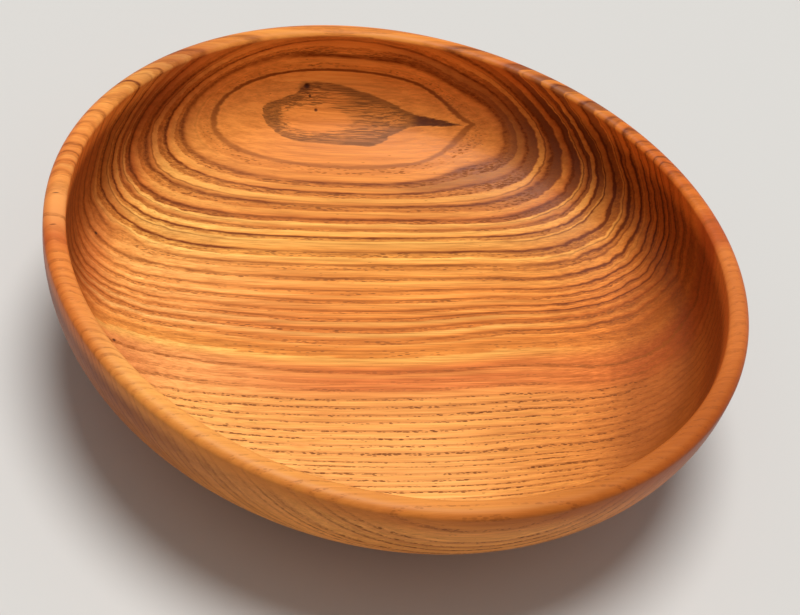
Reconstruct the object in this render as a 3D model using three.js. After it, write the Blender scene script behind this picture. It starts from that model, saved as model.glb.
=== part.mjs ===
// Turned wooden bowl: one block of wood with its wall, rounded lip, floor and foot ring.
// Millimetres, +Z up. The origin is the centre of the foot's flat face, and +X runs along the grain.
import * as THREE from 'three';

// Overall sizes
const rimDiameter = 320;
const height = 74;

// Lip: a rounded band between the outer wall and the hollow
const lipWidth = 9.6;
const lipOuterDrop = 3;      // from the crown down to the widest level of the outer wall
const lipInnerDrop = 2.4;    // from the crown down to the edge of the hollow

// Hollow
const floorThickness = 14;   // between the recess under the bowl and the middle of the floor
const hollowPower = 3.7;     // 2 is an ellipse, more gives a flatter floor and steeper walls

// Outer wall
const wallPower = 2.4;       // 2 is an ellipse

// Foot: a low ring round a shallow recess
const footDiameter = 168;
const footHeight = 2.5;
const footStep = 4;          // how far the outer wall stands proud of the foot's side
const footRingWidth = 8;
const recessDepth = 3;
const footEdge = 0.8;        // bevel on the ring's two edges

// Fineness of the faceted solid
const turnSegments = 72;
const outerSteps = 12;
const lipSteps = 5;          // on each side of the crown
const hollowSteps = 16;

const rimRadius = rimDiameter / 2;
const footRadius = footDiameter / 2;
const wallFootRadius = footRadius + footStep;
const widestLevel = height - lipOuterDrop;
const hollowEdgeLevel = height - lipInnerDrop;
const hollowRadius = rimRadius - lipWidth;
const crownRadius = rimRadius - lipWidth / 2;
const floorLevel = recessDepth + floorThickness;

// Point of a superellipse quarter at an angle from its level axis: |x / width|^power + |y / depth|^power = 1.
function quarterPoint(width, depth, power, angle) {
  const across = Math.cos(angle);
  const along = Math.sin(angle);
  const reach = ((Math.abs(across) / width) ** power + (Math.abs(along) / depth) ** power) ** (-1 / power);
  return { x: reach * across, y: reach * along };
}

function angles(from, to, steps) {
  return Array.from({ length: steps + 1 }, (_, i) => from + ((to - from) * i) / steps);
}

// Underside, from the axis out: recess, flat ring with bevelled edges, side of the foot.
function footProfile() {
  const ringInner = footRadius - footRingWidth;
  return [
    new THREE.Vector2(0, recessDepth),
    new THREE.Vector2(ringInner / 3, recessDepth),
    new THREE.Vector2((ringInner * 2) / 3, recessDepth),
    new THREE.Vector2(ringInner - recessDepth + footEdge, recessDepth),
    new THREE.Vector2(ringInner, footEdge),
    new THREE.Vector2(ringInner + footEdge, 0),
    new THREE.Vector2(footRadius - footEdge, 0),
    new THREE.Vector2(footRadius, footEdge),
    new THREE.Vector2(footRadius, footHeight),
  ];
}

// Outer wall, from the foot up to the widest level. The whole curve would run on below the foot,
// and its depth is the one that brings it through the top of the foot at wallFootRadius.
function outerProfile() {
  const drop = widestLevel - footHeight;
  const fullDepth = drop / (1 - (wallFootRadius / rimRadius) ** wallPower) ** (1 / wallPower);
  return angles(Math.atan2(drop, wallFootRadius), 0, outerSteps).map((angle) => {
    const point = quarterPoint(rimRadius, fullDepth, wallPower, angle);
    return new THREE.Vector2(point.x, widestLevel - point.y);
  });
}

// Lip, from the widest level over the crown to the edge of the hollow: two quarter ellipses.
function lipProfile() {
  const halfWidth = lipWidth / 2;
  const outer = angles(0, Math.PI / 2, lipSteps).slice(1).map((angle) => new THREE.Vector2(
    crownRadius + halfWidth * Math.cos(angle),
    widestLevel + lipOuterDrop * Math.sin(angle),
  ));
  const inner = angles(Math.PI / 2, Math.PI, lipSteps).slice(1).map((angle) => new THREE.Vector2(
    crownRadius + halfWidth * Math.cos(angle),
    hollowEdgeLevel + lipInnerDrop * Math.sin(angle),
  ));
  return [...outer, ...inner];
}

// Hollow, from its edge down the wall and across the floor to the axis.
function hollowProfile() {
  const depth = hollowEdgeLevel - floorLevel;
  const wall = angles(0, Math.PI / 2, hollowSteps).slice(1, -1).map((angle) => {
    const point = quarterPoint(hollowRadius, depth, hollowPower, angle);
    return new THREE.Vector2(point.x, hollowEdgeLevel - point.y);
  });
  return [...wall, new THREE.Vector2(0, floorLevel)];
}

function turnedWood() {
  return new THREE.MeshStandardMaterial({ color: 0xde8840, roughness: 0.42, metalness: 0 });
}

function makeBowl() {
  const profile = [...footProfile(), ...outerProfile(), ...lipProfile(), ...hollowProfile()];
  const geometry = new THREE.LatheGeometry(profile, turnSegments);
  geometry.rotateX(Math.PI / 2);
  const bowl = new THREE.Mesh(geometry, turnedWood());
  bowl.name = 'bowl';
  return bowl;
}

const object = new THREE.Group();
object.add(makeBowl());

export default object;
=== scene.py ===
import math

import bpy
import numpy as np
from mathutils import Matrix, Vector


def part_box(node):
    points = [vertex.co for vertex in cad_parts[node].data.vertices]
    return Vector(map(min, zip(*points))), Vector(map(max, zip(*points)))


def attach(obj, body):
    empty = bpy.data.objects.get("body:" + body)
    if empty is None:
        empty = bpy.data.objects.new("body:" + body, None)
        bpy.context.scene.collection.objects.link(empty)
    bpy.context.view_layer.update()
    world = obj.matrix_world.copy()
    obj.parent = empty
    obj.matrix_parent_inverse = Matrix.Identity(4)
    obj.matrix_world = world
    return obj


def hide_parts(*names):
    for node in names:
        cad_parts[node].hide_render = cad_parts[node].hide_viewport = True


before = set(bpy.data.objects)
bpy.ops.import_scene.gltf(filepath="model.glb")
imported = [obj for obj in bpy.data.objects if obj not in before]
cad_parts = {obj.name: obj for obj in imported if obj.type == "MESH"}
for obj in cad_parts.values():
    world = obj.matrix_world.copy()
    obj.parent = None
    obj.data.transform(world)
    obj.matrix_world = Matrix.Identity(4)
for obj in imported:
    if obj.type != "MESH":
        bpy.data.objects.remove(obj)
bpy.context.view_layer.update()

bowlLow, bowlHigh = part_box("bowl")
print("frame loaded, bowl", [round(v * 1000, 1) for v in bowlHigh - bowlLow], "mm")


# Camera: looks at aim from that far off. Azimuth 0 looks along +Y, and roll turns the picture clockwise.
viewpoint = {
    "aim": (-0.0024, -0.0219, 0.0483),
    "distance": 0.7207,
    "azimuth": -21.16,
    "elevation": 43.08,
    "roll": 15.39,
    "lens": 72.0,
}


def makeCamera(look):
    turn = math.radians(look["azimuth"])
    rise = math.radians(look["elevation"])
    roll = math.radians(look["roll"])
    back = Vector((math.sin(turn) * math.cos(rise), -math.cos(turn) * math.cos(rise), math.sin(rise)))
    levelRight = Vector((math.cos(turn), math.sin(turn), 0))
    levelUp = back.cross(levelRight)
    right = levelRight * math.cos(roll) + levelUp * math.sin(roll)
    up = levelUp * math.cos(roll) - levelRight * math.sin(roll)
    data = bpy.data.cameras.new("camera")
    data.lens = look["lens"]
    data.sensor_width = 36
    data.clip_start = 0.01
    data.clip_end = 50
    camera = bpy.data.objects.new("camera", data)
    bpy.context.scene.collection.objects.link(camera)
    place = Matrix((right, up, back)).transposed().to_4x4()
    place.translation = Vector(look["aim"]) + back * look["distance"]
    camera.matrix_world = place
    bpy.context.scene.camera = camera


makeCamera(viewpoint)
print("camera placed")


# Turned bowl, in metres from the CAD box. The profile runs from the axis under the bowl
# out over the foot and the wall, over the lip and down the hollow, back to the axis.
bowlShape = {
    "around": 528,              # columns round the axis
    "fineAt": 97.5,             # degrees: columns stand closest where the pin knots are
    "fineness": 0.66,           # 0 is even spacing
    "lipWidth": 0.0096,
    "lipOuterDrop": 0.003,
    "lipInnerDrop": 0.0024,
    "floorThickness": 0.014,
    "hollowPower": 3.7,
    "wallPower": 2.4,
    "footRadius": 0.084,
    "footHeight": 0.0025,
    "footStep": 0.004,
    "footRingWidth": 0.008,
    "recessDepth": 0.003,
    "footEdge": 0.0008,
    "footCorner": 0.0003,       # bevel where the foot meets the wall
    "toolRingPitch": 0.00496,   # faint rings that the gouge leaves in the recess
    "toolRingDepth": 0.00004,
    "innermost": 0.0015,        # radius of the first row round the axis under the bowl
    "recessRows": 34,
    "wallRows": 40,
    "lipRows": 10,              # on each side of the crown
    "hollowRows": (             # from, to and rows, in degrees down from the hollow's edge
        (0, 9.4, 9),
        (9.4, 17.6, 34),        # on the level of the pin knots
        (17.6, 90, 38),
    ),
    "creaseAngle": 38,          # degrees: edges that fold more than this stay crisp
    "pinKnots": (               # x, y, z, radius, depth of the small holes in the wall
        (-0.0206, 0.1453, 0.0433, 0.0013, 0.0009),
        (-0.0187, 0.1427, 0.0389, 0.0008, 0.0005),
        (-0.0154, 0.1378, 0.0337, 0.0010, 0.0006),
    ),
}


def quarterCurve(width, depth, power, angles):
    # superellipse quarter: (x / width)^power + (y / depth)^power = 1, a point for each angle from x
    across, along = np.cos(angles), np.sin(angles)
    reach = ((across / width) ** power + (along / depth) ** power) ** (-1 / power)
    return reach * across, reach * along


def arc(centreR, centreZ, radius, start, end, steps):
    # points of a circle of that radius about the centre, between two angles in degrees
    angles = np.radians(np.linspace(start, end, steps))
    return centreR + radius * np.cos(angles), centreZ + radius * np.sin(angles)


def bowlProfile(shape, rimRadius, height):
    # radius and level of each row, and the row that lies on the crown of the lip
    halfLip = shape["lipWidth"] / 2
    crownRadius = rimRadius - halfLip
    widest = height - shape["lipOuterDrop"]
    edgeLevel = height - shape["lipInnerDrop"]
    hollowRadius = rimRadius - shape["lipWidth"]
    floorLevel = shape["recessDepth"] + shape["floorThickness"]
    foot = shape["footRadius"]
    edge = shape["footEdge"]
    ringInner = foot - shape["footRingWidth"]
    # recess: a flat with shallow tool rings that die out at its middle and its edge
    slopeStart = ringInner - shape["recessDepth"] + edge
    recessR = np.linspace(shape["innermost"], slopeStart, shape["recessRows"])
    fade = np.sin(np.pi * recessR / slopeStart) ** 0.5
    toolRing = shape["toolRingDepth"] * np.sin(2 * np.pi * recessR / shape["toolRingPitch"]) * fade
    parts = [(np.array([0.0]), np.array([shape["recessDepth"]]))]
    parts.append((recessR, shape["recessDepth"] + toolRing))
    # slope to the foot ring, whose two edges are eased
    slopeR = np.linspace(slopeStart, ringInner, 5)[1:]
    parts.append((slopeR, np.linspace(shape["recessDepth"], edge, 5)[1:]))
    parts.append(arc(ringInner + edge, edge, edge, 200, 270, 4))
    parts.append(arc(foot - edge, edge, edge, 270, 360, 5))
    parts.append((np.array([foot]), np.array([shape["footHeight"] - shape["footCorner"]])))
    parts.append((np.array([foot + shape["footCorner"]]), np.array([shape["footHeight"]])))
    # wall: the superellipse passes through the top of the foot's step
    wallFoot = foot + shape["footStep"]
    drop = widest - shape["footHeight"]
    depth = drop / (1 - (wallFoot / rimRadius) ** shape["wallPower"]) ** (1 / shape["wallPower"])
    wallAngles = np.linspace(math.atan2(drop, wallFoot), 0, shape["wallRows"])
    wallR, wallZ = quarterCurve(rimRadius, depth, shape["wallPower"], wallAngles)
    parts.append((wallR, widest - wallZ))
    # lip: two quarter ellipses that meet on the crown
    outer = np.linspace(0, math.pi / 2, shape["lipRows"])[1:]
    inner = np.linspace(math.pi / 2, math.pi, shape["lipRows"])[1:]
    parts.append((crownRadius + halfLip * np.cos(outer), widest + shape["lipOuterDrop"] * np.sin(outer)))
    crownRow = sum(len(r) for r, z in parts) - 1
    parts.append((crownRadius + halfLip * np.cos(inner), edgeLevel + shape["lipInnerDrop"] * np.sin(inner)))
    # hollow: a superellipse again
    angles = np.concatenate([np.linspace(*span)[1:] for span in shape["hollowRows"]])
    angles = np.radians(angles[:-1])
    hollowR, hollowZ = quarterCurve(hollowRadius, edgeLevel - floorLevel, shape["hollowPower"], angles)
    parts.append((hollowR, edgeLevel - hollowZ))
    parts.append((np.array([0.0]), np.array([floorLevel])))
    radius = np.concatenate([r for r, z in parts])
    level = np.concatenate([z for r, z in parts])
    return radius, level, crownRow


def makeBowl(shape):
    # the profile turned about the axis, with the pin knots sunk in the hollow's wall
    size = bowlHigh - bowlLow
    radius, level, crownRow = bowlProfile(shape, size.x / 2, size.z)
    rows, around = len(radius), shape["around"]
    # columns: angle = u - fineness * sin(u), which draws them together at u = 0
    u = np.linspace(-math.pi, math.pi, around, endpoint=False)
    turn = u - shape["fineness"] * np.sin(u) + math.radians(shape["fineAt"])
    # every ring of the profile turned about the axis: x = r cos(turn), y = r sin(turn)
    r = radius[1:-1, None]
    z = np.broadcast_to(level[1:-1, None], (rows - 2, around))
    ring = np.stack([r * np.cos(turn), r * np.sin(turn), z], axis=-1).reshape(-1, 3)
    for x, y, z, wide, deep in shape["pinKnots"]:
        # a pit: points near the knot move out into the wall, most at its middle, by deep * (1 - d^2)^2
        away = ring - np.array((x, y, z))
        d = np.linalg.norm(away, axis=1) / wide
        sink = deep * np.clip(1 - d * d, 0, 1) ** 2
        outward = np.array((x, y, 0)) / math.hypot(x, y)
        onHollow = np.arange(len(ring)) > (crownRow - 1) * around
        ring += (sink * onHollow)[:, None] * outward
    points = np.concatenate([[[0, 0, level[0]]], ring, [[0, 0, level[-1]]]])
    # quads between neighbouring rings, and a fan of triangles at each end of the axis
    i = np.arange(around)
    nextI = (i + 1) % around
    low = 1 + np.arange(rows - 3)[:, None] * around
    quads = np.stack([low + i, low + nextI, low + around + nextI, low + around + i], axis=-1).reshape(-1, 4)
    last = 1 + (rows - 3) * around
    underFan = np.stack([np.zeros(around, int), 1 + nextI, 1 + i], axis=-1)
    floorFan = np.stack([last + i, last + nextI, np.full(around, len(points) - 1)], axis=-1)
    mesh = bpy.data.meshes.new("turned_bowl")
    mesh.from_pydata(points.tolist(), [], underFan.tolist() + quads.tolist() + floorFan.tolist())
    mesh.shade_smooth()
    mesh.set_sharp_from_angle(angle=math.radians(shape["creaseAngle"]))
    addDiscUv(mesh, radius, level, crownRow, turn)
    bowl = bpy.data.objects.new("turned_bowl", mesh)
    bpy.context.scene.collection.objects.link(bowl)
    return bowl


# places of the two discs across the map, their half widths, and their half height
uvDiscs = {
    "hollowMiddle": 0.285,
    "hollowHalf": 0.275,
    "outsideMiddle": 0.785,
    "outsideHalf": 0.205,
    "halfHigh": 0.485,
}


def addDiscUv(mesh, radius, level, crownRow, turn):
    # two discs side by side, the hollow and the outside, split on the crown of the lip. The distance from
    # a disc's middle is the length of the profile from the axis
    steps = np.hypot(np.diff(radius), np.diff(level))
    length = np.concatenate([[0], np.cumsum(steps)])
    outside = length / length[crownRow]
    inside = (length[-1] - length) / (length[-1] - length[crownRow])
    around = len(turn)
    corner = np.empty(len(mesh.loops), np.int32)
    mesh.loops.foreach_get("vertex_index", corner)
    starts = np.empty(len(mesh.polygons), np.int32)
    totals = np.empty(len(mesh.polygons), np.int32)
    mesh.polygons.foreach_get("loop_start", starts)
    mesh.polygons.foreach_get("loop_total", totals)
    row = 1 + (corner - 1) // around
    row[corner == 0] = 0
    row[corner == len(mesh.vertices) - 1] = len(radius) - 1
    col = (corner - 1) % around
    highest = np.repeat(np.maximum.reduceat(row, starts), totals)
    isHollow = highest > crownRow
    reach = np.where(isHollow, inside[row], outside[row])
    centreU = np.where(isHollow, uvDiscs["hollowMiddle"], uvDiscs["outsideMiddle"])
    halfWide = np.where(isHollow, uvDiscs["hollowHalf"], uvDiscs["outsideHalf"])
    u = centreU + halfWide * reach * np.cos(turn[col])
    v = 0.5 + uvDiscs["halfHigh"] * reach * np.sin(turn[col])
    layer = mesh.uv_layers.new(name="OFBake")
    layer.data.foreach_set("uv", np.stack([u, v], axis=-1).astype(np.float32).ravel())


bowl = makeBowl(bowlShape)
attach(bowl, "root")
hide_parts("bowl")
print("bowl turned:", len(bowl.data.vertices), "points", len(bowl.data.polygons), "faces")


# Solid wood, in millimetres: the growth rings are tubes about the middle of the log, which lies behind
# and below the bowl and runs along X. Ring radii are read off the photo.
woodFigure = {
    "logMiddle": (382.85, -271.80),     # y and z
    "logTilt": (0.00268, -0.01257),     # how they change along X
    "slowShift": 2.0,                   # how far the slow noise moves the rings
    "shiverShift": 0.9,                 # and the quick one
    "ringEnds": (
        395.5, 403.2, 409.8, 413.9, 420.0, 426.6, 431.6, 435.8, 443.4, 450.3, 457.0, 463.5,
        468.8, 474.5, 478.6, 484.0, 489.9, 495.0, 505.8, 510.8, 514.8, 520.0, 524.2,
    ),
    "firstWholeRing": 402.9,            # radius of the even line round the back wall's middle
    # how strong the dark end of a ring is, by radius
    "lateWood": (
        (390, 0.0), (397, 0.0), (400, 0.60), (403, 0.95), (409, 0.72), (414, 0.95), (420, 0.85), (427, 1.0),
        (431, 0.45), (436, 1.0), (443, 0.95), (450, 0.65), (457, 0.75), (463, 0.60), (470, 0.72),
        (476, 0.74), (485, 0.54), (491, 0.42), (496, 0.26), (505, 0.26), (510, 0.12), (519, 0.34),
        (530, 0.40), (560, 0.38),
    ),
    # a quarter of the power that draws the dark part of a ring towards its end
    "keenness": (
        (390, 0.25), (403, 0.22), (410, 0.3), (420, 0.3), (427, 0.25), (436, 0.3), (443, 0.35), (457, 0.35),
        (470, 0.3), (484, 0.3), (495, 0.5), (505, 0.8), (512, 0.45), (520, 0.45), (560, 0.45),
    ),
    # how dark that part is, from one ring end to the next
    "darkLine": (
        (0, 0.85), (0.03, 0.4), (0.06, 0.0), (0.70, 0.0), (0.80, 0.25), (0.88, 0.72), (0.94, 1.0),
        (0.97, 1), (1, 0.95),
    ),
    # outline of the blotch and of its spike, as angles round the log along X
    "blotchTop": (
        (-44.5, 50.4), (-43.0, 51.4), (-34, 52.0), (-26, 52.5), (-21, 53.25), (-8, 53.35),
        (5, 53.05), (22, 52.3), (38, 51.25), (50, 50.85), (64, 50.3), (66, 50.2),
    ),
    "blotchLow": (
        (-44.5, 50.4), (-43.0, 49.9), (-40, 49.5), (-34, 48.9), (-25, 48.55), (-12, 48.5),
        (2, 48.45), (14, 48.5), (26, 49.5), (37, 50.15), (50, 50.2), (66, 50.25),
    ),
    "blotchMiddle": (-15.0, 17.5, 50.55, 1.0),      # its light part: x, spread, angle, spread
    # shift of the rings on the back wall, by the angle round the log
    "lean": (
        (45.5, 0.0), (46.8, -0.4), (48.5, -1.0), (50.4, 0.3),
        (52.1, 1.1), (53.2, 1.9), (54.2, 3.5), (56.0, 4.2),
    ),
    "corner": (-36.0, 13.0, 52.4, 1.0, 0.9),        # x, spread, angle, spread, shift
    "ridge": (60.0, 17.0, 50.4, 2.2, 2.4),          # x, spread, angle, keenness, shift
    # slow bends of the rings: x, radius, spread along x, spread across, shift
    "bends": (
        (0, 400, 80, 11, 0.5),
        (0, 575, 60, 20, 1.4),
        (-115, 562, 18, 14, -4.0),
        (108, 575, 22, 16, -2.8),
        (0, 523, 90, 12, 0.6),
        (-110, 489, 40, 8, 2.4),
        (110, 511, 22, 8, -3.0),
        (-130, 545, 35, 26, -2.4),
        (-120, 428, 45, 20, -2.2),
        (125, 428, 45, 20, -2.5),
        (65, 424, 23, 10, -1.9),
        (-118, 450, 5, 5, 2.2),
        (-129, 460, 19, 12, -2.2),
        (102, 467, 60, 24, -5.0),
        (-80, 480, 38, 20, 2.8),
        (60, 480, 36, 24, 4.2),
        (115, 482, 52, 17, 5.0),
        (-105, 505, 48, 14, 4.0),
        (-142, 490, 16, 7, 0.9),
        (-160, 527, 59, 29, -4.1),
        (-141, 520, 14, 16, -2.6),
        (-128, 549, 14, 16, -3.0),
        (-116, 567, 10, 10, -4.0),
        (101, 573, 14, 12, -3.2),
        (134, 523, 25, 23, -3.1),
        (50, 548, 30, 42, 1.5),
        (105, 552, 30, 42, -2.6),
        (50, 561, 56, 38, -2.7),
        (-108, 574, 16, 14, -4.1),
        (20, 587, 55, 12, 2.9),
    ),
    # pin knots and two specks: x, y, z, radius, how dark
    "pinKnots": (
        (-21.6, 144.9, 42.6, 5.0, 0.45),
        (-20.6, 145.3, 43.3, 2.2, 0.9),
        (-18.7, 142.7, 38.9, 1.1, 0.9),
        (-15.4, 137.8, 33.7, 1.3, 0.9),
        (-133.5, 38.9, 34.0, 1.2, 0.9),
        (-128.5, -24.4, 28.9, 1.2, 0.9),
    ),
    "slits": ((-154.0, 20.6, 73.4), (-155.8, 0.3, 73.4)),   # short slits on the lip at the left
    "slitPerMm": (0.42, 1.9, 0.42),     # one over a slit's size along X, Y and Z
    "rightward": (0.94, -0.34),         # level directions that some parts are measured along
    "cornerward": (0.515, -0.857),
    "unevenPerMm": 0.11,                # how often the width of the front rings changes
    "linePerMm": 0.018,                 # how often a dark line's strength changes along X
    "linePerRing": 0.7,                 # and from ring to ring
    "frayAngle": 0.30,                  # how far the blotch's outline is frayed, in degrees and in mm
    "frayX": 5.0,
}

# noises in the wood: how often each changes per mm along X, Y and Z, its detail and its roughness
woodGrain = {
    "slow": ((0.011, 0.022, 0.022), 1.0, 0.5),
    "waves": ((0.06, 0.055, 0.055), 1.0, 0.5),
    "scallops": ((0.15, 0.13, 0.13), 1.0, 0.5),
    "shiver": ((0.10, 0.55, 0.55), 2.0, 0.5),
    "fibre": ((0.03, 1.3, 1.3), 3.0, 0.65),
    "broadFibre": ((0.014, 0.42, 0.42), 2.0, 0.5),
    "coarse": ((0.075, 0.9, 0.9), 3.0, 0.65),
    "streak": ((0.06, 1.9, 1.9), 2.0, 0.6),
    "cloud": ((0.012, 0.03, 0.03), 2.0, 0.5),
    "porePatch": ((0.03, 0.09, 0.09), 1.0, 0.5),
}

# what a noise gives: from, to, and the two values it fades between
woodTone = {
    "fibre": (0.33, 0.67, 0.74, 1.20),
    "broadFibre": (0.3, 0.7, 0.84, 1.13),
    "cloud": (0.25, 0.75, 0.92, 1.07),
    "porePatch": (0.35, 0.65, 0.65, 1.15),
    "line": (0.25, 0.75, 0.6, 1.35),
    "greenAndBlue": (1.25, 1.5),        # powers: darker wood is also redder
}

# what differs from ring to ring: a seed, and the range it falls in
ringChance = {
    "keenness": (3.0, 0.8, 1.3),
    "duskStart": (8.0, 0.38, 0.80),
    "secondLine": (9.0, 0.3, 0.7),
    "dusk": (12.0, 0.0, 1.0),
    "second": (13.0, 0.0, 1.0),
    "early": (17.0, 0.30, 1.0),
    "poreBand": (21.0, 0.22, 0.48),
    "bandDepth": (23.0, 0.25, 1.0),
    "tone": (31.0, 0.92, 1.05),
}

# Parts of the bowl, each as limits that are multiplied. A limit names what it measures and fades in from
# the first number to the second, or from one value to another where two more follow; "near" is a soft
# bump with its middle and its spread; a name alone is another part. Lengths are in mm.
woodZones = {
    "outside": (("normalZ", -0.25, 0.0, 1, 0),),
    "sideGrain": (("facing", 0.15, 0.6, 1, 0),),
    "lip": (("z", 61.0, 69.5), "inner"),
    "endWaves": (("fromMiddle", 95, 145, 0, 5.0),),
    "endScallops": (("fromMiddle", 75, 115), ("x", -40, 40, 1.9, 2.6)),
    "backMiddleRings": (("x", "near", 0, 62), ("rawRadius", 404, 412, 1, 0)),
    "ridgeRings": (("rawRadius", 404, 416, 1, 0.25),),
    "unevenRings": (("radius", 518, 535, 0, 1.3),),
    "frontRings": (("radius", 510, 522),),
    "nearBack": (("radius", 405, 418, 1, 0),),
    "pastFirst": (("radius", 403.4, 410),),
    "pastLine": (("radius", 403.2, 403.4),),
    "pastBand": (("radius", 402.5, 404.0),),
    "darkApproach": (("radius", 403, 406),),
    "fullEarly": (("radius", 403, 420), ("radius", 500, 525, 1, 0.5)),
    "fullFibres": (("radius", 412, 440, 0.5, 1),),
    "fullDusk": (("radius", 500, 515, 1, 0.5),),
    "fullBand": (("radius", 500, 520, 1, 0.5),),
    "frontPores": (("radius", 505, 525, 0, 0.9),),
    "wallward": (("fromMiddle", 45, 110),),
    "rightBack": (("x", 45, 95), ("radius", 440, 470, 1, 0), ("y", 50, 95, 0.45, 1)),
    "rightLip": (("x", 20, 90), ("y", 10, 70)),
    "rubbed": (
        "lip", ("y", -20, 90, 0.70, 0.42), ("x", 110, 145, 1, 0.75), ("x", -150, -110, 0.45, 1),
    ),
    "endStrength": (("fromMiddle", 40, 140, 0.95, 1.35),),
    "calmEnds": (("radius", 498, 506), ("fromMiddle", 40, 110)),
    "bandCalm": (("radius", 499, 505), ("radius", 516, 521, 1, 0)),
    "leftCalm": (
        ("radius", 444, 452), ("radius", 488, 500, 1, 0), "inner",
        ("x", -60, 10, 1, 0.4), ("x", 50, 95, 1, 0),
    ),
    "rightWall": (("x", 96, 120), ("radius", 420, 445), "offLip", "inner", ("y", 0, 60)),
    "rightMiddle": (("x", 50, 110), ("radius", 455, 480)),
    "filledPores": ("lip", ("y", -130, -90, 0.85, 1)),
    "redBand": (("radius", 499, 505), ("radius", 519, 525, 1, 0), "offLip"),
    "paleBand": ("redBand", ("x", -95, -15, 0.65, 0)),
    "amberBand": ("redBand", ("x", 25, 90, 0, 0.45)),
    "softRing": (("radius", 409.2, 411.0), ("radius", 413.2, 414.4, 1, 0), ("x", 5, 45, 0, 0.5)),
    "blotchRings": (("rawRadius", 404, 408, 1, 0), ("rawRadius", 385, 389)),
    "spikeReach": (("x", 34, 41), ("x", 64, 66, 1, 0)),
    "leftLip": ("lip", ("x", -150, -125, 1, 0)),
    "palerLip": ("leftLip", ("y", -12, 8), ("y", 20, 36, 1, 0)),
    "rightHand": (("x", 30, 150),),
    "frontRight": (("x", 10, 120), ("y", -70, 20, 1, 0)),
    "cornerRight": (("x", -5, 60), ("y", -98, -25, 1, 0), "offLip", "inner"),
    # painted shade on the steep lower right wall
    "farRight": (("towardsRight", 100, 126), ("z", 36, 46, 1, 0), "inner"),
    "backMiddle": (
        ("x", "near", -22, 42), ("z", 38, 48), ("z", 62, 68, 1, 0), "inner", ("y", 90, 120),
    ),
    "backLeft": (("x", "near", -97, 24), ("z", 44, 52), ("y", 80, 100), "inner"),
    # painted light: the left of the floor made brighter and paler
    "leftFloor": (("x", -110, -30, 1, 0), ("facing", 0.2, 0.6, 1, 0), "offLip"),
    "cornerLeft": (("x", -130, -98, 1, 0), ("y", -50, 10, 1, 0), "offLip", "inner"),
    # painted sheen: a pale bluish haze on the left of the floor
    "leftPatch": (("x", "near", -96, 48), ("y", "near", 16, 28), "inner"),
    # painted shade on the steep left wall under the lip
    "leftWall": (("towardsRight", -134, -118, 1, 0), ("z", 24, 34), "offLip", "inner"),
    "frontLip": ("lip", ("y", -110, -40, 1, 0)),
    "rightBackLip": ("lip", ("x", 0, 50), ("y", 10, 60)),
    "cornerLip": ("lip", ("towardsCorner", 126, 154)),
    "redderLip": ("leftLip", ("y", -98, -72), ("y", -16, 10, 1, 0)),
    "lipWarm": ("lip", ("x", -130, -20), ("y", -60, 90, 1, 0.3)),
    "outerEdge": (("fromAxis", 155.8, 159.4),),
    "endFace": (("facing", 0.32, 0.98),),
}

# how much quieter each thing is in a part of the bowl, from 0 to 1
woodCalm = {
    "keenness": {"rightBack": 0.2},
    "strength": {"calmEnds": 0.5},
    "rubbing": {"rightLip": 0.6},
    "late": {"bandCalm": 0.45, "leftCalm": 0.36},
    "pores": {"bandCalm": 0.4},
    "bandDepth": {"nearBack": 0.5},
    "bandTone": {"rubbed": 1.0, "leftCalm": 0.5},
    "early": {"lip": 0.5, "rightMiddle": 0.7, "bandCalm": 0.6, "leftCalm": 0.35},
    "fibres": {"frontRings": 0.3},
}

# how strong each thing is
woodAmount = {
    "broaderLine": 0.15,        # dark lines on the right of the back wall
    "strongerLine": 0.7,        # and on the right wall
    "brownApproach": 0.22,      # browner wood before a dark line
    "longerBand": 0.08,         # band of pores on the right of the back wall
    "evenerBand": 0.6,          # its end there and in the front rings
    "evenerFront": 0.4,         # tone of the front rings
    "evenerLip": 0.55,          # tone of the lip
    "poreColour": 0.85,
    "fainterPore": 0.1,         # near the back wall's middle
    "darkerPore": 0.1,          # in the front rings
    "palerLip": 0.8,
    # end grain darkening: partly the wood's own, partly painted shade on the steep side walls
    "endGrainAndShade": 0.95,
    "lipEndGrain": 0.8,         # less of it on the lip
    "blotchStreaks": 0.95,
    "slit": 0.8,
    "knotCore": 0.3,            # share of a knot's radius that is fully dark
}

# open pores, as cells: how many per mm along X, Y and Z, and their size as a share of a cell
woodPores = {
    "long": (0.27, 1.5, 1.5),
    "short": (0.46, 1.15, 1.15),    # in the front rings
    "size": 0.24,
    "bandSize": 0.20,               # more in the first wood of a ring
    "frontSize": 0.10,              # more in the front rings
    "edge": 0.12,                   # softness of a pore's edge
    "fewest": 0.04,                 # share of the cells that hold a pore outside a band, and in it
    "most": 0.95,
    "frontBand": 0.26,              # where the band of a front ring ends
    "filled": 0.75,                 # how far they are filled on the lip
}

# sRGB colours of the oiled wood
woodColour = {
    # body of a ring, by radius
    "body": (
        (388, (240, 140, 58)),
        (398, (250, 154, 68)),
        (408, (250, 152, 66)),
        (420, (250, 156, 68)),
        (427, (228, 130, 54)),
        (437, (255, 170, 76)),
        (447, (254, 164, 70)),
        (470, (248, 148, 60)),
        (484, (242, 140, 56)),
        (498, (252, 156, 66)),
        (506, (221, 119, 55)),
        (515, (225, 125, 61)),
        (521, (254, 167, 86)),
        (560, (255, 176, 97)),
    ),
    "early": (255, 188, 94),
    "pale": (250, 162, 88),
    "amber": (242, 148, 72),
    "brown": (200, 102, 36),
    "late": (123, 55, 8),
    "band": (159, 85, 27),
    "blotch": (134, 78, 30),
    "purple": (126, 66, 34),
    "dusk": (178, 94, 38),
    "spike": (96, 46, 20),
    "pore": (108, 54, 14),
    "knot": (70, 28, 12),
}

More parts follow.
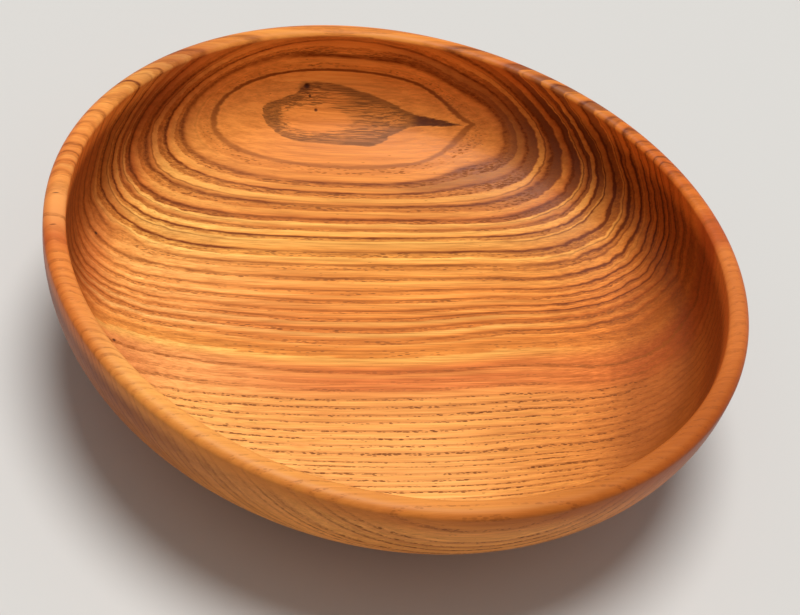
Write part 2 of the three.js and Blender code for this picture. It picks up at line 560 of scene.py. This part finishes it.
# what each part's colour is multiplied by, red, green and blue: first the hollow, then the lip
woodTint = {
    "rightHand": (0.86, 0.70, 0.58),
    "frontRight": (0.90, 0.80, 0.70),
    "cornerRight": (0.78, 0.68, 0.54),
    # painted shade on the steep lower right wall
    "farRight": (0.62, 0.56, 0.56),
    "backMiddle": (1.14, 1.36, 1.55),
    "backLeft": (0.72, 0.64, 0.75),
    # painted light on the left of the floor
    "leftFloor": (1.06, 1.16, 1.24),
    "leftCalm": (0.94, 0.91, 1.06),
    "rightWall": (1.12, 1.16, 1.20),
    "cornerLeft": (0.78, 0.68, 0.66),
    # painted sheen on the left of the floor
    "leftPatch": (1.16, 1.28, 1.52),
    # painted shade on the steep left wall under the lip
    "leftWall": (0.92, 0.79, 0.78),
    "frontLip": (0.96, 0.90, 0.72),
}
lipTint = {
    "rightBackLip": (0.91, 0.79, 0.66),
    "cornerLip": (0.72, 0.62, 0.50),
    "redderLip": (0.84, 0.62, 0.47),
    "lipWarm": (0.84, 0.72, 0.66),
}
outsideTint = {
    # painted shade on the outside and the lip's outer edge, darkened as if out of the light
    "paintedOuterShade": (0.84, 0.70, 0.58),
    # end grain: darker where it drinks more oil, and darkened further as painted shade on the steep side
    # walls
    "endGrainAndShade": (0.34, 0.22, 0.155),
}

# satin oil
woodGloss = {
    "roughness": (0.36, 0.44),
    "poreRoughness": 0.15,
    "specular": 0.12,
    "fibreHeight": 0.25,        # against a pore's depth of 1
    "bumpStrength": 0.5,
    "bumpDistance": 0.00012,
}


def linear(rgb):
    # sRGB bytes to the linear values a socket takes
    c = np.array(rgb, float) / 255
    return tuple(np.where(c <= 0.04045, c / 12.92, ((c + 0.055) / 1.055) ** 2.4))


def nodeKit(tree):
    # small functions that add a node and give back its output, so that a material reads as sums
    def feed(socket, value):
        if isinstance(value, bpy.types.NodeSocket):
            tree.links.new(value, socket)
        else:
            socket.default_value = value

    def calc(operation, *values, clamp=False):
        node = tree.nodes.new("ShaderNodeMath")
        node.operation = operation
        node.use_clamp = clamp
        for socket, value in zip(node.inputs, values):
            feed(socket, value)
        return node.outputs[0]

    def vector(operation, *values, out=0):
        node = tree.nodes.new("ShaderNodeVectorMath")
        node.operation = operation
        for socket, value in zip(node.inputs, values):
            feed(socket, value)
        return node.outputs[out]

    def join(x, y, z):
        node = tree.nodes.new("ShaderNodeCombineXYZ")
        for socket, value in zip(node.inputs, (x, y, z)):
            feed(socket, value)
        return node.outputs[0]

    def split(value):
        node = tree.nodes.new("ShaderNodeSeparateXYZ")
        feed(node.inputs[0], value)
        return tuple(node.outputs)

    def step(value, start, end, low=0.0, high=1.0, kind="SMOOTHSTEP"):
        node = tree.nodes.new("ShaderNodeMapRange")
        node.interpolation_type = kind
        names = ("Value", "From Min", "From Max", "To Min", "To Max")
        for name, v in zip(names, (value, start, end, low, high)):
            feed(node.inputs[name], v)
        return node.outputs[0]

    def noise(place, detail=2.0, rough=0.5, dimensions="3D"):
        node = tree.nodes.new("ShaderNodeTexNoise")
        node.noise_dimensions = dimensions
        feed(node.inputs["W" if dimensions == "1D" else "Vector"], place)
        feed(node.inputs["Scale"], 1.0)
        feed(node.inputs["Detail"], detail)
        feed(node.inputs["Roughness"], rough)
        return node.outputs[0]

    def cells(place):
        node = tree.nodes.new("ShaderNodeTexVoronoi")
        node.feature = "F1"
        feed(node.inputs["Vector"], place)
        feed(node.inputs["Scale"], 1.0)
        return node.outputs["Distance"], node.outputs["Color"]

    def chance(value, seed):
        node = tree.nodes.new("ShaderNodeTexWhiteNoise")
        node.noise_dimensions = "2D"
        feed(node.inputs["Vector"], join(value, seed, 0))
        return node.outputs[0]

    def curve(value, points, extend=False):
        # a smooth curve through (place, value) points between 0 and 1
        node = tree.nodes.new("ShaderNodeFloatCurve")
        feed(node.inputs["Value"], value)
        line = node.mapping.curves[0]
        for x, y in points[2:]:
            line.points.new(x, y)
        for point, place in zip(line.points, points):
            point.location = place
            point.handle_type = "AUTO"
        node.mapping.extend = "EXTRAPOLATED" if extend else "HORIZONTAL"
        node.mapping.use_clip = False
        node.mapping.update()
        return node.outputs[0]

    def ramp(value, stops):
        node = tree.nodes.new("ShaderNodeValToRGB")
        node.color_ramp.interpolation = "LINEAR"
        feed(node.inputs[0], value)
        elements = node.color_ramp.elements
        while len(elements) < len(stops):
            elements.new(1.0)
        for element, (place, rgb) in zip(elements, stops):
            element.position = place
            element.color = (*linear(rgb), 1)
        return node.outputs[0]

    def mix(share, a, b, kind="MIX"):
        node = tree.nodes.new("ShaderNodeMix")
        node.data_type = "RGBA"
        node.blend_type = kind
        feed(node.inputs[0], share)
        feed(node.inputs[6], a)
        feed(node.inputs[7], b)
        return node.outputs[2]

    return feed, calc, vector, join, split, step, noise, cells, chance, curve, ramp, mix


def sumKit(calc):
    # sums of node outputs
    def chain(operation, values):
        total = values[0]
        for value in values[1:]:
            total = calc(operation, total, value)
        return total

    def times(*values):
        return chain("MULTIPLY", values)

    def plus(*values):
        return chain("ADD", values)

    def minus(a, b):
        return calc("SUBTRACT", a, b)

    def rest(share):
        return minus(1.0, share)

    def raised(value, share, amount):
        # value + share * amount
        return calc("MULTIPLY_ADD", share, amount, value)

    def less(share, amount):
        # 1 where the share is 0, and 1 - amount where it is 1
        return raised(1.0, share, -amount)

    def toward(value, goal, share):
        # the value where the share is 0, and the goal where it is 1
        return raised(value, minus(goal, value), share)

    def size(value):
        return calc("ABSOLUTE", value)

    def most(a, b):
        return calc("MAXIMUM", a, b)

    def off(value, middle, spread):
        return calc("DIVIDE", minus(value, middle), spread)

    def bell(*away):
        # e to the power of minus the sum of the squares
        return calc("EXPONENT", times(plus(*[times(a, a) for a in away]), -1.0))

    def sway(value, noiseValue, amount):
        # moved by a noise, which lies about 0.5
        return raised(value, minus(noiseValue, 0.5), amount)

    return times, plus, minus, rest, raised, less, toward, size, most, off, bell, sway


def makeWood(figure, amount, pores, colour, gloss):
    # colour, roughness and relief follow from the place in the block, so that every face cuts one log
    material = bpy.data.materials.new("oiled_ring_porous_wood")
    material.use_nodes = True
    tree = material.node_tree
    tree.nodes.clear()
    feed, calc, vector, join, split, step, noise, cells, chance, curve, ramp, mix = nodeKit(tree)
    times, plus, minus, rest, raised, less, toward, size, most, off, bell, sway = sumKit(calc)
    coordinates = tree.nodes.new("ShaderNodeTexCoord")
    place = vector("SCALE", coordinates.outputs["Object"])
    place.node.inputs["Scale"].default_value = 1000
    x, y, z = split(place)
    geometry = tree.nodes.new("ShaderNodeNewGeometry")
    normal = split(geometry.outputs["Normal"])
    paint = {name: (*linear(rgb), 1) for name, rgb in colour.items() if name != "body"}

    def reached(direction):
        return plus(times(x, direction[0]), times(y, direction[1]))

    known = {
        "x": x,
        "y": y,
        "z": z,
        "fromMiddle": size(x),
        "fromAxis": vector("LENGTH", join(x, y, 0.0), out=1),
        "towardsRight": reached(figure["rightward"]),
        "towardsCorner": reached(figure["cornerward"]),
        "facing": size(normal[0]),
        "normalZ": normal[2],
    }

    def zone(name):
        # the product of a part's limits, made once
        if name not in known:
            shares = []
            for limit in woodZones[name]:
                if isinstance(limit, str):
                    shares.append(zone(limit))
                elif limit[1] == "near":
                    shares.append(bell(off(known[limit[0]], *limit[2:])))
                else:
                    shares.append(step(known[limit[0]], *limit[1:]))
            known[name] = times(*shares)
        return known[name]

    def quieter(what, value):
        for name, amount in woodCalm[what].items():
            value = times(value, less(zone(name), amount))
        return value

    def grain(name):
        perMm, detail, rough = woodGrain[name]
        return noise(vector("MULTIPLY", place, perMm), detail, rough)

    def traced(value, points, least=0.0, span=1.0):
        # a smooth curve through any points, level beyond both ends; it holds (v - least) / span
        low, high = points[0][0], points[-1][0]
        placed = [((at - low) / (high - low), (v - least) / span) for at, v in points]
        share = calc("DIVIDE", minus(value, low), high - low, clamp=True)
        return calc("MULTIPLY_ADD", curve(share, placed), span, least)

    known["inner"] = rest(zone("outside"))
    known["offLip"] = rest(zone("lip"))
    lip = known["lip"]
    sideGrain = zone("sideGrain")

    # radius about the middle of the log, and the angle round it in degrees
    middleY, middleZ = figure["logMiddle"]
    tiltY, tiltZ = figure["logTilt"]
    across = minus(raised(middleY, x, tiltY), y)
    above = minus(z, raised(middleZ, x, tiltZ))
    rawRadius = calc("SQRT", plus(times(across, across), times(above, above)))
    angle = calc("DEGREES", calc("ARCTAN2", above, across))
    known["rawRadius"] = rawRadius

    # rings wander: slow noise, the bends, and short waves towards the two ends of the grain
    radius = sway(rawRadius, grain("slow"), figure["slowShift"])
    for atX, atRadius, alongX, alongRadius, shift in figure["bends"]:
        radius = raised(radius, bell(off(x, atX, alongX), off(rawRadius, atRadius, alongRadius)), shift)
    radius = sway(radius, grain("waves"), zone("endWaves"))
    radius = sway(radius, grain("scallops"), zone("endScallops"))
    radius = sway(radius, grain("shiver"), figure["shiverShift"])

    # back wall: the rings lie almost flat in the surface there, lean with the angle and pinch to a point
    lean = times(traced(angle, figure["lean"], -5.0, 10.0), zone("backMiddleRings"))
    atX, alongX, atAngle, alongAngle, shift = figure["corner"]
    lean = raised(lean, bell(off(x, atX, alongX), off(angle, atAngle, alongAngle)), shift)
    atX, alongX, atAngle, keen, shift = figure["ridge"]
    ridge = rest(calc("EXPONENT", times(size(minus(angle, atAngle)), -keen)))
    ridge = times(ridge, bell(off(x, atX, alongX)), shift, zone("ridgeRings"))
    radius = plus(radius, lean, ridge)
    known["radius"] = radius

    # ring count from the radius; its whole part names the ring and the rest is the place in it
    ends = figure["ringEnds"]
    lowest, highest = ends[0], ends[-1]
    growth = [((end - lowest) / (highest - lowest), i / (len(ends) - 1)) for i, end in enumerate(ends)]
    count = times(curve(off(radius, lowest, highest - lowest), growth, extend=True), len(ends) - 1.0)
    uneven = noise(times(radius, figure["unevenPerMm"]), detail=1.0, dimensions="1D")
    count = plus(sway(count, uneven, zone("unevenRings")), 20.0)
    ring = calc("FLOOR", count)
    phase = calc("FRACT", count)

    def perRing(name):
        seed, low, high = ringChance[name]
        return step(chance(ring, seed), 0, 1, low, high, kind="LINEAR")

    # fibres run along X
    fibre = grain("fibre")
    coarse = grain("coarse")
    streak = grain("streak")

    # dark late wood grows towards the end of a ring and stops short at the next one. Towards the right
    # of the back wall it is broad, and where the lip is rubbed smooth it is quieter
    rightBack, frontRings, wallward = zone("rightBack"), zone("frontRings"), zone("wallward")
    keenness = quieter("keenness", times(traced(radius, figure["keenness"]), perRing("keenness")))
    shaped = calc("POWER", phase, times(keenness, 4.0))
    line = curve(shaped, figure["darkLine"])
    known["rubbed"] = quieter("rubbing", zone("rubbed"))
    rubbed = known["rubbed"]
    lineX, lineRing = times(x, figure["linePerMm"]), times(count, figure["linePerRing"])
    along = noise(join(lineX, lineRing, 0.0), detail=1.0)
    strength = times(traced(radius, figure["lateWood"]), step(along, *woodTone["line"]))
    strength = quieter("strength", times(strength, zone("endStrength")))
    strength = raised(strength, rightBack, amount["broaderLine"])
    strength = calc("MULTIPLY", strength, rest(rubbed), clamp=True)
    dashes = step(coarse, 0.35, 0.65, raised(0.78, frontRings, -0.45), 1.25)
    late = calc("MULTIPLY", line, times(strength, dashes), clamp=True)
    late = times(late, zone("pastLine"))
    # the innermost whole ring on the back wall ends in one even line
    backLine = sway(size(minus(radius, figure["firstWholeRing"])), coarse, 0.8)
    backLine = times(step(backLine, 0.25, 0.95, 1, 0), step(angle, 47, 54, 0.55, 0.9))
    late = most(late, backLine)
    # in some rings the last part is browner, and its start is a thin second line
    duskShare = times(step(perRing("dusk"), 0.3, 0.9), zone("pastFirst"), rest(rubbed))
    fromStart = minus(phase, perRing("duskStart"))
    dusk = times(duskShare, step(wallward, 0, 1, 0.20, 0.40), step(fromStart, -0.03, 0.05))
    dusk = times(dusk, zone("fullDusk"))
    twin = times(step(size(fromStart), 0, 0.07, 1, 0), duskShare, step(wallward, 0, 1, 0.45, 0.8))
    late = most(late, times(twin, strength))
    second = step(perRing("second"), 0.5, 0.9, 0, 0.4)
    fromSecond = size(minus(phase, perRing("secondLine")))
    second = times(second, step(fromSecond, 0, 0.08, 1, 0), zone("pastFirst"))
    late = most(late, times(second, strength))
    # the reddish band in front of the middle and the floor's left are calm, the right wall isn't
    late = quieter("late", late)
    late = calc("MULTIPLY", late, raised(1.0, zone("rightWall"), amount["strongerLine"]), clamp=True)

    # open pores stand in the first wood of a ring, a few elsewhere. The narrow rings at the front have
    # one row each
    bandEnd = raised(perRing("poreBand"), rightBack, amount["longerBand"])
    bandEnd = toward(bandEnd, pores["frontBand"], frontRings)
    evenness = times(most(rightBack, frontRings), amount["evenerBand"])
    raggedness = times(step(sideGrain, 0, 1, -0.10, -0.28), rest(evenness))
    bandEdge = sway(minus(phase, bandEnd), coarse, raggedness)
    band = times(step(phase, 0, 0.05, 0.6, 1), step(bandEdge, -0.05, 0.04, 1, 0))
    bandDepth = times(most(perRing("bandDepth"), rightBack), zone("pastBand"))
    poreBand = times(band, most(bandDepth, zone("frontPores")))
    bandDepth = quieter("bandDepth", bandDepth)
    longDistance, longColour = cells(vector("MULTIPLY", place, pores["long"]))
    shortDistance, shortColour = cells(vector("MULTIPLY", place, pores["short"]))
    poreDistance = toward(longDistance, shortDistance, frontRings)
    poreChance, poreDepth = split(mix(frontRings, longColour, shortColour))[:2]
    poreShare = step(poreBand, 0, 1, pores["fewest"], pores["most"], kind="LINEAR")
    poreGate = step(minus(poreShare, poreChance), -0.04, 0.04)
    poreSize = raised(raised(pores["size"], poreBand, pores["bandSize"]), frontRings, pores["frontSize"])
    poreSize = times(poreSize, step(grain("porePatch"), *woodTone["porePatch"]))
    pore = times(step(minus(poreSize, poreDistance), -pores["edge"], pores["edge"]), poreGate)
    pore = times(pore, step(poreDepth, 0, 1, raised(0.45, frontRings, 0.1), 1.0, kind="LINEAR"))
    pore = times(pore, sideGrain, less(zone("filledPores"), pores["filled"]))
    pore = quieter("pores", pore)

    # body of the rings, lighter early wood, and browner towards a dark line
    bodyLow, bodyHigh = colour["body"][0][0], colour["body"][-1][0]
    bodyShare = calc("DIVIDE", minus(radius, bodyLow), bodyHigh - bodyLow, clamp=True)
    wood = ramp(bodyShare, [((r - bodyLow) / (bodyHigh - bodyLow), rgb) for r, rgb in colour["body"]])
    early = times(step(bandEdge, -0.05, 0.06), step(phase, 0.50, 0.92, 1, 0), perRing("early"))
    early = quieter("early", times(early, zone("fullEarly")))
    wood = mix(early, wood, paint["early"])
    wood = mix(zone("paleBand"), wood, paint["pale"])
    wood = mix(zone("amberBand"), wood, paint["amber"])
    approach = times(step(shaped, 0.55, 0.95), zone("darkApproach"), strength, amount["brownApproach"])
    wood = mix(approach, wood, paint["brown"])

    # light and dark from fibre to fibre, from ring to ring and in clouds
    fibreShare = quieter("fibres", raised(0.35, sideGrain, 0.65))
    fibreShare = times(fibreShare, zone("fullFibres"))
    fibreTone = step(sway(0.5, fibre, fibreShare), *woodTone["fibre"], kind="LINEAR")
    broadTone = step(grain("broadFibre"), *woodTone["broadFibre"], kind="LINEAR")
    broadTone = toward(broadTone, 1.0, times(most(frontRings, zone("bandCalm")), amount["evenerFront"]))
    cloudTone = step(grain("cloud"), *woodTone["cloud"], kind="LINEAR")
    tone = times(fibreTone, broadTone, cloudTone, toward(perRing("tone"), 1.0, lip))
    tone = toward(tone, 1.0, times(lip, amount["evenerLip"]))
    green, blue = [calc("POWER", tone, power) for power in woodTone["greenAndBlue"]]
    wood = mix(1.0, wood, join(tone, green, blue), kind="MULTIPLY")

    # tints of the parts of the hollow, mostly darker towards the right and at the front corners, with
    # painted light and a painted sheen on the left of the floor and painted shade on the side walls; then
    # the lip, which goes from pale to reddish at the left
    def tinted(wood, share, tint):
        return mix(share, wood, mix(1.0, wood, (*tint, 1), kind="MULTIPLY"))

    for name, tint in woodTint.items():
        wood = tinted(wood, zone(name), tint)
    wood = mix(times(zone("palerLip"), amount["palerLip"]), wood, paint["pale"])
    for name, tint in lipTint.items():
        wood = tinted(wood, zone(name), tint)

    # brown last part of a ring, band of its pores, one soft ring low on the back wall's right side,
    # dark lines and pores
    wood = mix(times(dusk, step(coarse, 0.3, 0.7, 0.8, 1)), wood, paint["dusk"])
    bandTone = times(band, bandDepth, step(coarse, 0.38, 0.62, raised(0.35, rightBack, 0.5), 0.9))
    bandTone = times(bandTone, step(wallward, 0, 1, 0.80, 1.05), zone("fullBand"))
    wood = mix(quieter("bandTone", bandTone), wood, mix(rightBack, paint["band"], paint["purple"]))
    wood = mix(zone("softRing"), wood, paint["purple"])
    wood = mix(late, wood, paint["late"])
    poreMix = times(pore, raised(amount["poreColour"], zone("nearBack"), -amount["fainterPore"]))
    poreMix = raised(poreMix, times(pore, frontRings), amount["darkerPore"])
    wood = mix(poreMix, wood, paint["pore"])

    # back wall blotch: brown coarse fibres round a light middle, and a dark spike along the grain
    raggedAngle = sway(angle, coarse, figure["frayAngle"])
    raggedX = sway(x, fibre, figure["frayX"])
    fromTop = minus(traced(raggedX, figure["blotchTop"], 48.0, 6.0), raggedAngle)
    fromLow = minus(raggedAngle, traced(raggedX, figure["blotchLow"], 48.0, 6.0))
    inside = calc("MINIMUM", fromTop, fromLow)
    blotch = times(step(inside, 0, 0.14), zone("blotchRings"))
    atX, alongX, atAngle, alongAngle = figure["blotchMiddle"]
    middleX, middleAngle = off(x, atX, alongX), off(angle, atAngle, alongAngle)
    fromLight = sway(plus(times(middleX, middleX), times(middleAngle, middleAngle)), coarse, 2.5)
    edgeDark = most(step(inside, 0.25, 0.9, 0.7, 0), step(x, -37, -32, 0.75, 0))
    edgeDark = plus(edgeDark, step(x, -6, 8, 0, 0.28))
    streaks = step(streak, 0.44, 0.56, 0, amount["blotchStreaks"])
    blotchTone = calc("ADD", streaks, edgeDark, clamp=True)
    blotchTone = times(blotchTone, step(fibre, 0.38, 0.62, 0.7, 1), step(fromLight, 0.8, 1.4))
    wood = mix(times(blotch, blotchTone), wood, paint["blotch"])
    spike = times(zone("spikeReach"), step(inside, 0, 0.12), blotch, step(streak, 0.4, 0.6, 1, 0.8))
    wood = mix(spike, wood, paint["spike"])
    for *knot, wide, deepest in figure["pinKnots"]:
        away = vector("LENGTH", vector("SUBTRACT", place, knot), out=1)
        wood = mix(step(away, wide * amount["knotCore"], wide, deepest, 0), wood, paint["knot"])
    for slit in figure["slits"]:
        away = vector("MULTIPLY", vector("SUBTRACT", place, slit), figure["slitPerMm"])
        away = vector("LENGTH", away, out=1)
        wood = mix(step(away, 0.3, 0.9, amount["slit"], 0), wood, paint["knot"])

    # painted shade: the outside and the lip's outer edge are darkened as if out of the light; end grain is
    # darker, partly as it drinks more oil and partly as painted shade on the steep side walls
    paintedOuterShade = most(zone("outside"), zone("outerEdge"))
    wood = tinted(wood, paintedOuterShade, outsideTint["paintedOuterShade"])
    # partly painted shade on the steep walls that face along the grain
    endGrainAndShade = times(zone("endFace"), raised(amount["endGrainAndShade"], lip, -amount["lipEndGrain"]))
    wood = tinted(wood, endGrainAndShade, outsideTint["endGrainAndShade"])

    # satin oil, a little duller in the pores, and open pores in the relief
    roughness = raised(step(fibre, 0.3, 0.7, *gloss["roughness"]), pore, gloss["poreRoughness"])
    height = raised(times(pore, -1.0), fibre, gloss["fibreHeight"])
    bump = tree.nodes.new("ShaderNodeBump")
    bump.inputs["Strength"].default_value = gloss["bumpStrength"]
    bump.inputs["Distance"].default_value = gloss["bumpDistance"]
    feed(bump.inputs["Height"], height)
    shader = tree.nodes.new("ShaderNodeBsdfPrincipled")
    shader.inputs["Specular IOR Level"].default_value = gloss["specular"]
    feed(shader.inputs["Base Color"], wood)
    feed(shader.inputs["Roughness"], roughness)
    feed(shader.inputs["Normal"], bump.outputs[0])
    output = tree.nodes.new("ShaderNodeOutputMaterial")
    tree.links.new(shader.outputs[0], output.inputs["Surface"])
    return material


bowl.data.materials.append(makeWood(woodFigure, woodAmount, woodPores, woodColour, woodGloss))
print("wood figured")


# Pale floor, one broad far lamp above and a little behind, and an even pale surrounding
studio = {
    "floorSize": 12.0,
    "floorColour": (212, 210, 206),
    "floorRoughness": 0.9,
    "lampFrom": (0.04, 0.24, 1.0),
    "lampSpread": 30.0,                 # degrees across, for the softness of the shadow
    "lampStrength": 2.7,
    "worldColour": (1, 0.985, 0.96),
    "worldStrength": 0.26,
    "backdropColour": (1, 0.99, 0.975),
    "backdropStrength": 0.72,
}


def makeStudio(look):
    half = look["floorSize"] / 2
    mesh = bpy.data.meshes.new("floor")
    corners = [(-half, -half, 0), (half, -half, 0), (half, half, 0), (-half, half, 0)]
    mesh.from_pydata(corners, [], [(0, 1, 2, 3)])
    floor = bpy.data.objects.new("floor", mesh)
    bpy.context.scene.collection.objects.link(floor)
    material = bpy.data.materials.new("pale_floor")
    material.use_nodes = True
    shader = material.node_tree.nodes["Principled BSDF"]
    shader.inputs["Base Color"].default_value = (*linear(look["floorColour"]), 1)
    shader.inputs["Roughness"].default_value = look["floorRoughness"]
    mesh.materials.append(material)

    light = bpy.data.lights.new("key", "SUN")
    light.angle = math.radians(look["lampSpread"])
    light.energy = look["lampStrength"]
    lamp = bpy.data.objects.new("key", light)
    bpy.context.scene.collection.objects.link(lamp)
    towards = Vector(look["lampFrom"]).normalized()
    lamp.location = towards
    lamp.rotation_euler = towards.to_track_quat("Z", "Y").to_euler()

    # the surrounding looks brighter to the camera and in gloss than it lights
    world = bpy.data.worlds.new("studio")
    bpy.context.scene.world = world
    world.use_nodes = True
    tree = world.node_tree
    tree.nodes.clear()
    calc = nodeKit(tree)[1]
    path = tree.nodes.new("ShaderNodeLightPath")
    seen = calc("MAXIMUM", path.outputs["Is Camera Ray"], path.outputs["Is Glossy Ray"])
    seen = calc("MAXIMUM", seen, path.outputs["Is Transmission Ray"])
    lit = tree.nodes.new("ShaderNodeBackground")
    lit.inputs["Color"].default_value = (*look["worldColour"], 1)
    lit.inputs["Strength"].default_value = look["worldStrength"]
    shown = tree.nodes.new("ShaderNodeBackground")
    shown.inputs["Color"].default_value = (*look["backdropColour"], 1)
    shown.inputs["Strength"].default_value = look["backdropStrength"]
    blend = tree.nodes.new("ShaderNodeMixShader")
    tree.links.new(seen, blend.inputs[0])
    tree.links.new(lit.outputs[0], blend.inputs[1])
    tree.links.new(shown.outputs[0], blend.inputs[2])
    output = tree.nodes.new("ShaderNodeOutputWorld")
    tree.links.new(blend.outputs[0], output.inputs["Surface"])


makeStudio(studio)
bpy.context.scene.view_settings.view_transform = "Standard"
print("studio lit")
